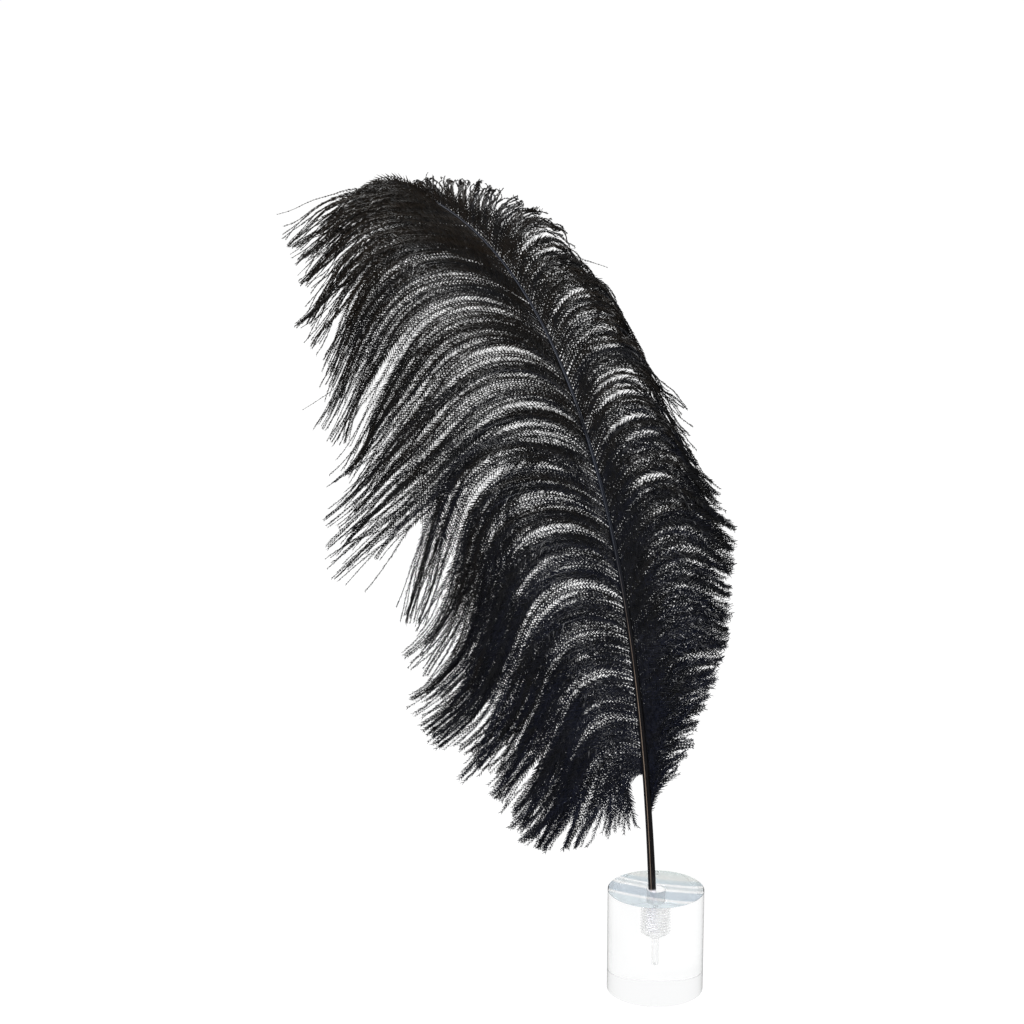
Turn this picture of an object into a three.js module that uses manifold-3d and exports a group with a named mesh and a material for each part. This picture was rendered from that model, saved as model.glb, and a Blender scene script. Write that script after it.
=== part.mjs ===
// An ostrich plume whose quill stands in the tapped hole of a clear round block.
// Millimetres, +Z up. The origin is the centre of the block's foot; the plume's face looks along -Y and
// its barbs droop further to -X than to +X.
import * as THREE from "three";
import { mergeVertices } from "three/addons/utils/BufferGeometryUtils.js";
import Module from "manifold-3d";

const wasm = await Module();
wasm.setup();

// ---- driving dimensions -------------------------------------------------------------------------

const STAND = {
  radius: 25,
  height: 55,
  edge: 0.6, // bevel round the top and the foot
  tappedRadius: 4.6, // between an M10 thread's crest and its root
  tappedDepth: 21,
  pilotRadius: 1.25,
  pilotDepth: 38,
  drillPoint: Math.tan(THREE.MathUtils.degToRad(31)), // height of a drill's point for each mm of radius
  sides: 48,
};

// The shaft is one cubic curve, from the quill's cut end inside the block to the plume's tip.
const SHAFT = {
  path: new THREE.CubicBezierCurve3(
    new THREE.Vector3(-1.1, 0, 35),
    new THREE.Vector3(-5.4, -4.3, 143.1),
    new THREE.Vector3(-20.9, 8.5, 366.6),
    new THREE.Vector3(-118, 42, 409.2),
  ),
  quillRadius: 2.2,
  tipRadius: 0.55,
  taper: 0.8, // how early the shaft thins, as a power of the distance along it
  stations: 30,
  sides: 8,
};

const VANE_START = 60; // distance up the shaft at which the first barbs grow
const SLIVER = 0.05; // edges shorter than this are folded away where the locks are joined

// How the barbs grow on each side, by their place on the vane: 0 at its foot and 1 at its tip.
// Each row: place, length, heading at the root, heading at the tip, lean to the back, where it bends, flick.
// Headings are in degrees in the XZ plane: 0 along +X, 90 up, 180 along -X. Lean is in degrees. The bend
// is centred at this share of the barb's length. The flick turns the barb's end by some more degrees.
const LEFT_GROWTH = [
  [0.066, 53, 142, 258, 6, 0.24, 0],
  [0.1, 77, 130, 251, 8, 0.16, -8],
  [0.18, 98, 122, 248, 11, 0.14, -10],
  [0.26, 116, 142, 250, 13, 0.2, -14],
  [0.32, 140, 124, 251, 14, 0.18, -20],
  [0.38, 162, 121, 254, 14, 0.17, -34],
  [0.44, 164, 137, 263, 15, 0.28, -38],
  [0.48, 158, 142, 264, 17, 0.31, -20],
  [0.5, 162, 144, 262, 18, 0.33, -4],
  [0.528, 168, 144, 257, 18, 0.33, 0],
  [0.534, 169, 102, 223, 11, 0.16, 0],
  [0.6, 158, 114, 230, 11, 0.19, 0],
  [0.64, 153, 121, 233, 11, 0.22, 0],
  [0.72, 151, 145, 239, 15, 0.31, 2],
  [0.8, 149, 148, 242, 18, 0.33, 4],
  [0.89, 111, 170, 232, 18, 0.44, 2],
  [0.97, 83, 177, 226, 18, 0.52, -4],
  [1.0, 77, 174, 210, 18, 0.5, -4],
];
const RIGHT_GROWTH = [
  [0.0, 26, 76, 32, 4, 0.62, 0],
  [0.05, 35, 68, 0, 8, 0.62, 0],
  [0.1, 45, 61, 4, 14, 0.6, 6],
  [0.18, 52, 52, -18, 19, 0.62, 8],
  [0.26, 62, 54, -40, 24, 0.55, 10],
  [0.38, 81, 62, -52, 28, 0.47, 12],
  [0.5, 91, 68, -64, 30, 0.4, 14],
  [0.59, 91, 74, -68, 35, 0.35, 12],
  [0.68, 86, 72, -68, 40, 0.38, 8],
  [0.74, 88, 78, -70, 44, 0.35, 0],
  [0.8, 79, 80, -68, 58, 0.33, 0],
  [0.86, 51, 78, -60, 92, 0.44, 0],
  [0.9, 39, 88, 10, 125, 0.55, 0],
  [0.95, 29, 100, 80, 140, 0.5, 0],
  [1.0, 15, 130, 190, 80, 0.5, 0],
];
const GROWTH = { left: LEFT_GROWTH, right: RIGHT_GROWTH };

// Barbs cling together in locks. A lock here is the solid that a bunch of barbs fills.
const LOCKS = {
  left: 32,
  right: 26,
  stations: 8,
  sides: 4,
  broad: 0.56, // half a lock's width, as a share of the way to the next lock's root
  reach: 1.04, // a lock ends where its longest barb does, and the charts give the middle one
  halfThickness: 0.9,
  tipHalfThickness: 0.45,
  tipHalfWidth: 0.9,
};
const FOOT = { left: 0.066, right: 0 }; // the place of the first barb on each side
const BEND_REACH = 0.32; // a bend begins this share of the length before its centre and ends as far after
const LEAN = [0.2, 0.9]; // the stretch of a barb over which it leans back
const FLICK = [0.55, 1]; // the stretch over which its end is flicked aside
const STRAY = { length: 0.07, root: 3, tip: 7, back: 15, flick: 8 }; // how far a lock differs from the next

// ---- the rule of growth -------------------------------------------------------------------------

const radians = THREE.MathUtils.degToRad;
const ease = (x, low, high) => THREE.MathUtils.smoothstep(x, low, high);
const shaftLength = SHAFT.path.getLength();

/** A repeatable number from -1 to 1 for one lock and one of its traits. */
function chance(lock, trait) {
  const wave = Math.sin(lock * 12.9898 + trait * 78.233) * 43758.5453;
  return 2 * (wave - Math.floor(wave)) - 1;
}

/** The row of a growth chart at a place on the vane, between its neighbours. */
function growthAt(chart, place) {
  const above = Math.max(
    1,
    chart.findIndex((row) => row[0] >= place),
  );
  const [low, high] = [chart[above - 1], chart[above]];
  const share = THREE.MathUtils.clamp((place - low[0]) / (high[0] - low[0]), 0, 1);
  return low.map((value, i) => value + (high[i] - value) * share);
}

const shaftAt = (distance) => SHAFT.path.getPointAt(Math.min(1, distance / shaftLength));
const rootOf = (place) => shaftAt(VANE_START + place * (shaftLength - VANE_START));

/** The way a barb runs at a share of its length, and the way that its thickness lies there. */
function wayOf(growth, along) {
  const { start, end, back, bend, flick } = growth;
  const turn = (end - start) * ease(along, bend - BEND_REACH, bend + BEND_REACH);
  const heading = radians(start + turn + flick * ease(along, ...FLICK));
  const lean = radians(back * ease(along, ...LEAN));
  const flat = new THREE.Vector3(Math.cos(heading), 0, Math.sin(heading));
  const ahead = flat.clone().multiplyScalar(Math.cos(lean));
  ahead.y = Math.sin(lean);
  const thick = flat.clone().multiplyScalar(-Math.sin(lean));
  thick.y = Math.cos(lean);
  return { ahead, thick };
}

/** The line of a lock: points, and at each the ways that its width and its thickness run. */
function lockLine(side, index) {
  const number = side === "left" ? index : index + 100;
  const place = FOOT[side] + ((1 - FOOT[side]) * (index + 0.5)) / LOCKS[side];
  const [, length, start, end, back, bend, flick] = growthAt(GROWTH[side], place);
  const growth = {
    start: start + STRAY.root * chance(number, 2),
    end: end + STRAY.tip * chance(number, 3),
    back: back + STRAY.back * chance(number, 4),
    bend,
    flick: flick + STRAY.flick * chance(number, 5),
  };
  const step = (length * (1 + STRAY.length * chance(number, 1)) * LOCKS.reach) / LOCKS.stations;
  const point = rootOf(place);
  const line = [];
  for (let i = 0; i <= LOCKS.stations; i++) {
    const { ahead, thick } = wayOf(growth, i / LOCKS.stations);
    const wide = new THREE.Vector3().crossVectors(ahead, thick);
    line.push({ point: point.clone(), wide, thick });
    point.addScaledVector(wayOf(growth, (i + 0.5) / LOCKS.stations).ahead, step);
  }
  return line;
}

// ---- solids -------------------------------------------------------------------------------------

/** A closed geometry as a manifold solid. */
function solid(geometry) {
  const bare = geometry.clone();
  bare.deleteAttribute("normal");
  bare.deleteAttribute("uv");
  const merged = mergeVertices(bare, 1e-4);
  return new wasm.Manifold(
    new wasm.Mesh({
      numProp: 3,
      vertProperties: new Float32Array(merged.attributes.position.array),
      triVerts: new Uint32Array(merged.index.array),
    }),
  );
}

/** A manifold solid as a geometry. */
function geometryOf(made) {
  const mesh = made.getMesh();
  const geometry = new THREE.BufferGeometry();
  geometry.setAttribute("position", new THREE.BufferAttribute(mesh.vertProperties, 3));
  geometry.setIndex(new THREE.BufferAttribute(mesh.triVerts, 1));
  geometry.computeVertexNormals();
  return geometry;
}

/**
 * A cylinder whose rings are laid along a line: station i's ring sits at line[i].point, as wide and as
 * thick as size(i) says.
 */
function laidAlong(line, sides, size) {
  const last = line.length - 1;
  const geometry = new THREE.CylinderGeometry(1, 1, 1, sides, last);
  const position = geometry.getAttribute("position");
  const place = new THREE.Vector3();
  for (let v = 0; v < position.count; v++) {
    const i = Math.round((position.getY(v) + 0.5) * last);
    const [halfWidth, halfThickness] = size(i);
    place.copy(line[i].point);
    place.addScaledVector(line[i].wide, position.getX(v) * halfWidth);
    place.addScaledVector(line[i].thick, position.getZ(v) * halfThickness);
    position.setXYZ(v, place.x, place.y, place.z);
  }
  return geometry;
}

/** The shaft: a round quill that thins to a fine tip. */
function shaft() {
  const line = [];
  for (let i = 0; i <= SHAFT.stations; i++) {
    const ahead = SHAFT.path.getTangentAt(i / SHAFT.stations);
    const wide = new THREE.Vector3(ahead.z, 0, -ahead.x).normalize();
    const thick = new THREE.Vector3().crossVectors(wide, ahead);
    line.push({ point: SHAFT.path.getPointAt(i / SHAFT.stations), wide, thick });
  }
  const radius = (i) =>
    SHAFT.quillRadius + (SHAFT.tipRadius - SHAFT.quillRadius) * (i / SHAFT.stations) ** SHAFT.taper;
  return laidAlong(line, SHAFT.sides, (i) => [radius(i), radius(i)]);
}

/** One lock: a thin blade, broad in its first half and drawn out to a point. */
function lock(side, index) {
  const count = LOCKS[side];
  const broad = (LOCKS.broad * (shaftLength - VANE_START)) / count;
  const line = lockLine(side, index);
  return laidAlong(line, LOCKS.sides, (i) => {
    const along = i / LOCKS.stations;
    const width = broad * (0.7 + 0.5 * ease(along, 0, 0.35)) * (1 - ease(along, 0.55, 1.15));
    const thickness = THREE.MathUtils.lerp(LOCKS.halfThickness, LOCKS.tipHalfThickness, along);
    return [Math.max(width, LOCKS.tipHalfWidth), thickness];
  });
}

/** The whole feather, shaft and locks grown together. */
function feather() {
  let grown = solid(shaft());
  for (const side of ["left", "right"])
    for (let i = 0; i < LOCKS[side]; i++) grown = grown.add(solid(lock(side, i)));
  // Where locks cross they can close round a pocket of no size: only the outer shell is kept.
  const shells = grown.simplify(SLIVER).decompose();
  const [outer] = shells.sort((a, b) => b.volume() - a.volume());
  return geometryOf(outer);
}

/** The clear block: a turned cylinder with a tapped hole down its middle, and a narrower one below that. */
function stand() {
  const { radius, height, edge, tappedRadius, pilotRadius, drillPoint } = STAND;
  const tappedEnd = height - STAND.tappedDepth;
  const pilotEnd = height - STAND.pilotDepth;
  const profile = [
    [0, 0],
    [radius - edge, 0],
    [radius, edge],
    [radius, height - edge],
    [radius - edge, height],
    [tappedRadius, height],
    [tappedRadius, tappedEnd],
    [pilotRadius, tappedEnd - (tappedRadius - pilotRadius) * drillPoint],
    [pilotRadius, pilotEnd],
    [0, pilotEnd - pilotRadius * drillPoint],
  ].map(([r, z]) => new THREE.Vector2(r, z));
  return new THREE.LatheGeometry(profile, STAND.sides).rotateX(Math.PI / 2);
}

// ---- the object ---------------------------------------------------------------------------------

const dyedBarbs = new THREE.MeshStandardMaterial({
  color: new THREE.Color(0.02, 0.02, 0.026),
  roughness: 0.6,
  metalness: 0,
});
const clearAcrylic = new THREE.MeshStandardMaterial({
  color: new THREE.Color(0.9, 0.95, 0.97),
  roughness: 0.05,
  metalness: 0,
  transparent: true,
  opacity: 0.3,
});

function named(name, geometry, material) {
  const mesh = new THREE.Mesh(geometry, material);
  mesh.name = name;
  return mesh;
}

const plume = new THREE.Group();
plume.add(named("feather", feather(), dyedBarbs));
plume.add(named("stand", stand(), clearAcrylic));

export default plume;
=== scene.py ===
# %% [markdown]
# # An ostrich plume on a clear block
# The solids of the plume and of its block come from the CAD model. This script gives them their looks.
# The plume's solid locks are replaced by real barbs with their barbules, the shaft by a grooved quill,
# and the block by clear acrylic with a cut thread in its hole. The scene is in metres, +Z up, with the
# plume's face along -Y. The plume's and the block's own sizes are written in mm and turned into metres.

import math

import bmesh
import bpy
import numpy as np
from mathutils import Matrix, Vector


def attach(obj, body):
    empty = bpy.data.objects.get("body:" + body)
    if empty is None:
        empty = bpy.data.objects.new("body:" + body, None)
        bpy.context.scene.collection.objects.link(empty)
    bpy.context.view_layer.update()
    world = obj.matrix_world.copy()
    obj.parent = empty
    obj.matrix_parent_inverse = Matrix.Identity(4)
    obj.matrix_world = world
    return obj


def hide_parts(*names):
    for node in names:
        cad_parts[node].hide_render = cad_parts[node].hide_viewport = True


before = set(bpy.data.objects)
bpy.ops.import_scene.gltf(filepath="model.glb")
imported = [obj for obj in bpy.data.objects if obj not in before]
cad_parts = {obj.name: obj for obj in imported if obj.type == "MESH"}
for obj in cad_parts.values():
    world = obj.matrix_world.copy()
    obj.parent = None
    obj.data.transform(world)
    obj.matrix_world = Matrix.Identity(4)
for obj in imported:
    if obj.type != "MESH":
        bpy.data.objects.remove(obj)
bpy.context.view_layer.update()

# %% [markdown]
# ## Camera
# The plume is seen from a little above its middle and looked down on by fifteen degrees, from far enough
# away that its sides stay nearly parallel. A long lens does that. The camera comes first so that every
# later piece can be judged through it.

# %% Camera
MM = 0.001
CAMERA_PLACE = Vector((-74.6, -1291.7, 603.3)) * MM
CAMERA_PITCH = math.radians(15.0)
CAMERA_LENS = 94.29


def add_object(name, data):
    thing = bpy.data.objects.new(name, data)
    bpy.context.scene.collection.objects.link(thing)
    return thing


def make_camera():
    data = bpy.data.cameras.new("camera")
    data.lens = CAMERA_LENS
    data.sensor_width = 36.0
    data.clip_end = 20.0
    camera = add_object("camera", data)
    camera.location = CAMERA_PLACE
    camera.rotation_euler = (math.pi / 2 - CAMERA_PITCH, 0, 0)
    bpy.context.scene.camera = camera
    return camera


camera = make_camera()
print("camera at", tuple(round(v, 3) for v in camera.location))

# %% [markdown]
# ## The shaft's path
# A plume hangs on one long curve, stiff and nearly straight at the quill and bent over at its tip. One
# cubic Bezier holds it. Barbs are placed by their distance along it, so the curve is sampled finely once
# and a place is looked up by distance.

# %% The shaft's path
SHAFT_POINTS = np.array([[-1.1, 0, 35], [-5.4, -4.3, 143.1], [-20.9, 8.5, 366.6], [-118, 42, 409.2]])
VANE_START = 60.0  # mm up the shaft where the first barbs grow


def bezier(points, t):
    t = np.asarray(t, float)[..., None]
    near, far = 1 - t, t
    return (
        near**3 * points[0]
        + 3 * near**2 * far * points[1]
        + 3 * near * far**2 * points[2]
        + far**3 * points[3]
    )


def distances(points):
    steps = np.linalg.norm(np.diff(points, axis=0), axis=1)
    return np.concatenate([[0], np.cumsum(steps)])


shaft_fine = bezier(SHAFT_POINTS, np.linspace(0, 1, 4001))
shaft_distance = distances(shaft_fine)
SHAFT_LENGTH = shaft_distance[-1]


def shaft_at(distance):
    """The point of the shaft at a distance from its cut end, in mm."""
    return np.stack([np.interp(distance, shaft_distance, shaft_fine[:, k]) for k in range(3)], axis=-1)


def root_of(place):
    """Where a barb grows: 0 is the foot of the vane and 1 the shaft's tip."""
    return shaft_at(VANE_START + np.asarray(place) * (SHAFT_LENGTH - VANE_START))


print("shaft", round(SHAFT_LENGTH, 1), "mm")

# %% [markdown]
# ## How the barbs grow
# A barb leaves the shaft at a steep angle, bends over and droops, and its tip leans to the back. Length,
# headings, lean and bend change slowly up the shaft, so a short chart for each side holds them. Barbs
# cling together in locks, and each lock strays a little from the chart. The locks are those that the solids
# have and the charts are nearly theirs, so the barbs grow where the solids are. Barbs keep to less of the
# stray than the solids do, because they spread until the gaps between the locks close.

# %% Growth charts
# place, length mm, heading at the root, heading at the tip, lean to the back, where it bends, flick
LEFT_GROWTH = np.array([
    [0.066, 57, 142, 258, 6, 0.24, 0],
    [0.1, 87, 130, 251, 8, 0.16, -8],
    [0.18, 107, 122, 248, 11, 0.14, -10],
    [0.26, 120, 142, 250, 13, 0.2, -14],
    [0.32, 140, 124, 251, 14, 0.18, -20],
    [0.38, 162, 121, 254, 14, 0.17, -34],
    [0.44, 164, 137, 263, 15, 0.28, -38],
    [0.48, 158, 142, 262, 17, 0.31, -20],
    [0.5, 163, 144, 258, 18, 0.33, -4],
    [0.528, 168, 145, 254, 18, 0.33, 0],
    [0.534, 169, 102, 223, 11, 0.16, 0],
    [0.6, 158, 114, 230, 11, 0.19, 0],
    [0.64, 153, 121, 233, 11, 0.22, 0],
    [0.72, 151, 145, 239, 15, 0.31, 2],
    [0.8, 149, 148, 242, 18, 0.33, 4],
    [0.89, 111, 170, 232, 18, 0.44, 2],
    [0.97, 83, 177, 226, 18, 0.52, -4],
    [1.0, 77, 174, 210, 18, 0.5, -4],
])
RIGHT_GROWTH = np.array([
    [0.0, 26, 76, 42, 4, 0.62, 0],
    [0.05, 35, 68, 14, 8, 0.62, 0],
    [0.1, 45, 61, 8, 14, 0.6, 6],
    [0.18, 52, 52, -18, 19, 0.62, 8],
    [0.26, 62, 54, -40, 24, 0.55, 10],
    [0.38, 81, 62, -52, 28, 0.47, 12],
    [0.5, 91, 68, -64, 30, 0.4, 14],
    [0.59, 91, 74, -68, 35, 0.35, 12],
    [0.68, 86, 72, -68, 40, 0.38, 8],
    [0.74, 88, 78, -70, 44, 0.35, 0],
    [0.8, 79, 80, -68, 58, 0.33, 0],
    [0.86, 48, 78, -40, 76, 0.5, 0],
    [0.9, 35, 88, 44, 88, 0.55, 0],
    [0.95, 23, 100, 92, 92, 0.5, 0],
    [1.0, 14, 124, 170, 80, 0.5, 0],
])
LOCKS = {"left": 32, "right": 26}
FOOT = {"left": 0.066, "right": 0.0}  # the place of the first barb
STRAY = (0.07, 3.0, 7.0, 15.0, 8.0)  # length share, root, tip, lean and flick in degrees
STRAY_KEPT = 0.4  # share of a lock's stray that its barbs keep
BEND_REACH = 0.32
LEAN_FROM, LEAN_TO = 0.2, 0.9
FLICK_FROM, FLICK_TO = 0.55, 1.0


def ease(x, low, high):
    t = np.clip((np.asarray(x, float) - low) / (high - low), 0, 1)
    return t * t * (3 - 2 * t)


def chance(lock, trait):
    """The same repeatable number from -1 to 1 that the solid locks use."""
    wave = math.sin(lock * 12.9898 + trait * 78.233) * 43758.5453
    return 2 * (wave - math.floor(wave)) - 1


def read_chart(chart, place):
    return np.array([np.interp(place, chart[:, 0], chart[:, k]) for k in range(1, chart.shape[1])])


def growth_at(side, place):
    """Length, headings, lean, bend and flick on one side at a place, as a row of six."""
    return read_chart(LEFT_GROWTH if side == "left" else RIGHT_GROWTH, place)


def place_of(side, spot):
    """The place of a spot counted in locks: 0 is the side's foot, and 0.5 the middle of its first lock."""
    return FOOT[side] + (1 - FOOT[side]) * spot / LOCKS[side]


def strayed(side, index):
    """What one lock adds to its chart row: length as a share, then the root, tip, lean, bend and flick."""
    number = index if side == "left" else index + 100
    kept = [STRAY_KEPT * amount * chance(number, k + 1) for k, amount in enumerate(STRAY)]
    length, root, tip, back, flick = kept
    return np.array([length, root, tip, back, 0, flick])


def row_at(side, spot):
    """The growth at a spot: its chart row with the stray of the locks on both sides of it, blended."""
    low = int(np.clip(math.floor(spot - 0.5), 0, LOCKS[side] - 2))
    share = float(np.clip(spot - 0.5 - low, 0, 1))
    stray = strayed(side, low) * (1 - share) + strayed(side, low + 1) * share
    row = growth_at(side, place_of(side, spot))
    stray[0] *= row[0]
    return row + stray


print("locks", LOCKS)

# %% [markdown]
# ## Barb paths
# A barb is a thin line, so it is drawn as a chain of points. Each one starts on the shaft and follows its
# chart. Barbs cling: a few make a bunch, and the bunches of a lock are drawn towards its middle line. In
# the long upper barbs the locks part and show light between them, and near the quill they hardly do. From
# seven to twenty loose barbs in each lock keep to their own path and bridge the gaps. Slow waves keep the
# barbs from lying like a comb.

# %% How the barbs cling
# place, pull to the lock at the crest, pull to the lock at the tip, fullness of the fringe, loose barbs
LEFT_CLING = np.array([
    [0.0, 0.0, 0.35, 1.2, 12],
    [0.3, 0.0, 0.4, 1.15, 12],
    [0.5, 0.0, 0.4, 1.0, 11],
    [0.58, 0.0, 0.35, 0.9, 8],
    [0.78, 0.0, 0.35, 0.85, 7],
    [0.86, 0.0, 0.4, 1.1, 10],
    [1.0, 0.0, 0.4, 1.3, 13],
])
RIGHT_CLING = np.array([
    [0.0, 0.0, 0.1, 1.3, 20],
    [0.2, 0.0, 0.1, 1.3, 19],
    [0.4, 0.05, 0.15, 1.3, 15],
    [0.6, 0.1, 0.2, 1.1, 9],
    [0.82, 0.1, 0.2, 1.2, 13],
    [0.9, 0.1, 0.3, 1.3, 16],
    [1.0, 0.1, 0.3, 1.3, 16],
])
BUNCHES = 2  # in one lock
BUNCH_BARBS = 5
BUNCH_STRAY = np.array([0.09, 1.2, 4.0, 3.0, 0.02, 9.0])  # length share, root, tip, lean, bend, flick
BARB_STRAY = np.array([0.07, 1.2, 3.0, 2.5, 0.02, 6.0])
LOOSE_STRAY = np.array([0.06, 0.8, 2.5, 2.0, 0.02, 9.0])
LOOSE_GATHER = {"left": 0.75, "right": 0.4}  # pull of a loose barb's tip to the nearest bunch
FLUNG_LOCKS = 11  # the long side's locks, from the foot up, that have tips flung outwards
FLUNG = 0.2  # share of their bunches that do
FLING = (15, 45)  # degrees that a flung tip turns outwards
BUNCH_PULL = (0.4, 0.5)  # to the bunch: above the root, and added towards the tip
LENGTH_TO_SPARE = 0.8  # of the length stray: the most by which a barb passes its chart
BUNCH_SWAY = (1.3, 1.6)  # mm sideways and deep
BARB_SWAY = (0.5, 0.7)
LOOSE_SWAY = (0.8, 1.2)
TUFT_SWAY = (0.6, 0.9)
ROOT_DEPTH = np.array([0, 0.7, 0])  # mm that the barbs sit behind the middle of the shaft


def cling_at(side, place):
    return read_chart(LEFT_CLING if side == "left" else RIGHT_CLING, place)


print("barbs in bunches", BUNCHES * BUNCH_BARBS, "of each lock")

# %% Barb paths
STATIONS = 24  # steps along a barb
ALONG = np.linspace(0, 1, STATIONS + 1)
SEED = 17
WAVE_TURNS = (0.6, 1.7)  # along a barb
QUICK_TURNS, QUICK_SIZE = 2.3, 0.5  # of the quicker wave, beside the slow one
dice = np.random.default_rng(SEED)


def barb_line(root, row):
    """Points of a barb in mm, the way ahead at each, and the way its face looks."""
    length, start, end, back, bend, flick = row
    turn = (end - start) * ease(ALONG, bend - BEND_REACH, bend + BEND_REACH)
    heading = np.radians(start + turn + flick * ease(ALONG, FLICK_FROM, FLICK_TO))
    lean = np.radians(back * ease(ALONG, LEAN_FROM, LEAN_TO))
    flat = np.stack([np.cos(heading), np.zeros_like(heading), np.sin(heading)], axis=1)
    ahead = flat * np.cos(lean)[:, None]
    ahead[:, 1] = np.sin(lean)
    face = flat * -np.sin(lean)[:, None]
    face[:, 1] = np.cos(lean)
    middle = (ahead[1:] + ahead[:-1]) / 2
    points = np.vstack([root, root + np.cumsum(middle, axis=0) * length / STATIONS])
    return points, ahead, face


def wander(row, stray):
    """A row with a random step of its own. Barbs fall short of their chart more than they pass it."""
    step = dice.normal(0, 1, 6).clip(-2, 2) * stray
    step[0] = (LENGTH_TO_SPARE * stray[0] - abs(step[0])) * row[0]
    return row + step


def wave(size, reach=0.6):
    """A slow sideways wander that grows from nothing at the root."""
    turns = dice.uniform(*WAVE_TURNS, 2)
    phase = dice.uniform(0, 2 * math.pi, 2)
    slow = np.sin(turns[0] * 2 * math.pi * ALONG + phase[0])
    quick = np.sin(QUICK_TURNS * turns[1] * 2 * math.pi * ALONG + phase[1])
    return ((slow + QUICK_SIZE * quick) * size * ease(ALONG, 0.05, reach))[:, None]


def swayed(points, ahead, face, sideways, deep):
    wide = np.cross(ahead, face)
    return points + wide * wave(sideways) + face * wave(deep)


def drawn(points, towards, pull):
    """A line drawn towards another by a share at each station."""
    return points + (towards - points) * pull[:, None]


# %% The barbs of a lock
def barbs_of(side, index):
    """All the barbs of one lock, as (points, face, place) rows."""
    middle = index + 0.5
    lock_line, _, _ = barb_line(root_of(place_of(side, middle)), row_at(side, middle))
    crest, tip, _, free = cling_at(side, place_of(side, middle))
    to_lock = crest * ease(ALONG, 0.03, 0.35) + (tip - crest) * ease(ALONG, 0.6, 1.0)
    to_bunch = BUNCH_PULL[0] * ease(ALONG, 0.04, 0.3) + BUNCH_PULL[1] * ease(ALONG, 0.5, 1.0)
    made = []
    bunch_lines = []
    for bunch in range(BUNCHES):
        spot = index + (bunch + 0.5) / BUNCHES
        bunch_step = wander(row_at(side, spot), BUNCH_STRAY) - row_at(side, spot)
        if side == "left" and spot < FLUNG_LOCKS and dice.random() < FLUNG:
            bunch_step[5] -= dice.uniform(*FLING)
        line, ahead, face = barb_line(root_of(place_of(side, spot)), row_at(side, spot) + bunch_step)
        bunch_line = swayed(drawn(line, lock_line, to_lock), ahead, face, *BUNCH_SWAY)
        bunch_lines.append(bunch_line)
        for barb in range(BUNCH_BARBS):
            spot = index + (bunch + (barb + 0.5 + dice.uniform(-0.3, 0.3)) / BUNCH_BARBS) / BUNCHES
            row = wander(row_at(side, spot) + bunch_step, BARB_STRAY)
            place = place_of(side, spot)
            points, ahead, face = barb_line(root_of(place) + ROOT_DEPTH, row)
            points = drawn(drawn(points, lock_line, to_lock), bunch_line, to_bunch * dice.uniform(0.75, 1))
            made.append((swayed(points, ahead, face, *BARB_SWAY), face, place))
    count = round(free)
    for loose in range(count):
        share = (loose + 0.5 + dice.uniform(-0.35, 0.35)) / count
        place = place_of(side, index + share)
        row = wander(row_at(side, index + share), LOOSE_STRAY)
        points, ahead, face = barb_line(root_of(place) + ROOT_DEPTH, row)
        nearest = bunch_lines[min(BUNCHES - 1, int(share * BUNCHES))]
        points = drawn(points, nearest, LOOSE_GATHER[side] * ease(ALONG, 0.6, 1.0) * dice.uniform(0.3, 1))
        made.append((swayed(points, ahead, face, *LOOSE_SWAY), face, place))
    return made


barbs = {side: [barbs_of(side, i) for i in range(LOCKS[side])] for side in LOCKS}
metres = {
    side: sum(distances(points)[-1] for lock in barbs[side] for points, _, _ in lock) * MM for side in barbs
}
print("barbs", {side: sum(map(len, barbs[side])) for side in barbs}, "metres", metres)

# %% [markdown]
# ## Tufts and stray wisps
# Five small tufts grow besides the locks: the crown round the shaft's tip, the down at the foot of each
# side, and on the long side one at the parting half way up and one that fills a gap lower down. Each is a
# number of barbs that change evenly from one row of the chart's kind to another. A few barbs have also come
# free of every lock and stand off the outline. Those are set one by one.

# %% Tufts and wisps
TUFTS = [  # barbs, first place, last place, first row, last row
    (40, 0.95, 0.999, [82, 176, 227, 18, 0.5, 0], [58, 138, 218, 22, 0.3, 0]),
    (24, 0.066, 0.088, [34, 150, 280, 4, 0.2, 0], [54, 146, 266, 6, 0.2, 0]),
    (36, 0.002, 0.15, [25, 74, 36, 6, 0.62, 0], [48, 54, -4, 17, 0.6, 6]),
    (12, 0.529, 0.535, [96, 144, 262, 14, 0.3, 0], [112, 146, 264, 12, 0.3, 0]),
    (12, 0.383, 0.412, [162, 122, 255, 14, 0.18, -34], [163, 130, 259, 14, 0.22, -36]),
]
WISPS = [  # place, row
    (0.99, [64, 136, 220, 18, 0.3, 0]),
    (0.98, [84, 168, 202, 12, 0.5, 0]),
    (0.955, [88, 176, 214, 12, 0.5, 0]),
    (0.93, [94, 176, 221, 12, 0.5, 0]),
    (0.76, [153, 143, 240, 14, 0.33, -26]),
    (0.54, [178, 106, 240, 12, 0.35, 34]),
    (0.072, [38, 140, 275, 5, 0.35, 0]),
    (0.068, [29, 150, 285, 4, 0.4, 10]),
    (0.81, [54, 62, -24, 18, 0.4, 0]),
]


def line_of_its_own(place, row):
    points, ahead, face = barb_line(root_of(place) + ROOT_DEPTH, row)
    return swayed(points, ahead, face, *TUFT_SWAY), face, place


def tuft_lines():
    made = []
    for count, first, last, low, high in TUFTS:
        for share in np.linspace(0, 1, count):
            row = wander(np.array(low) * (1 - share) + np.array(high) * share, BARB_STRAY)
            made.append(line_of_its_own(first * (1 - share) + last * share, row))
    return made


tufts = tuft_lines()
wisps = [line_of_its_own(place, row) for place, row in WISPS]
print("tufts", len(tufts), "wisps", len(wisps))

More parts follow.
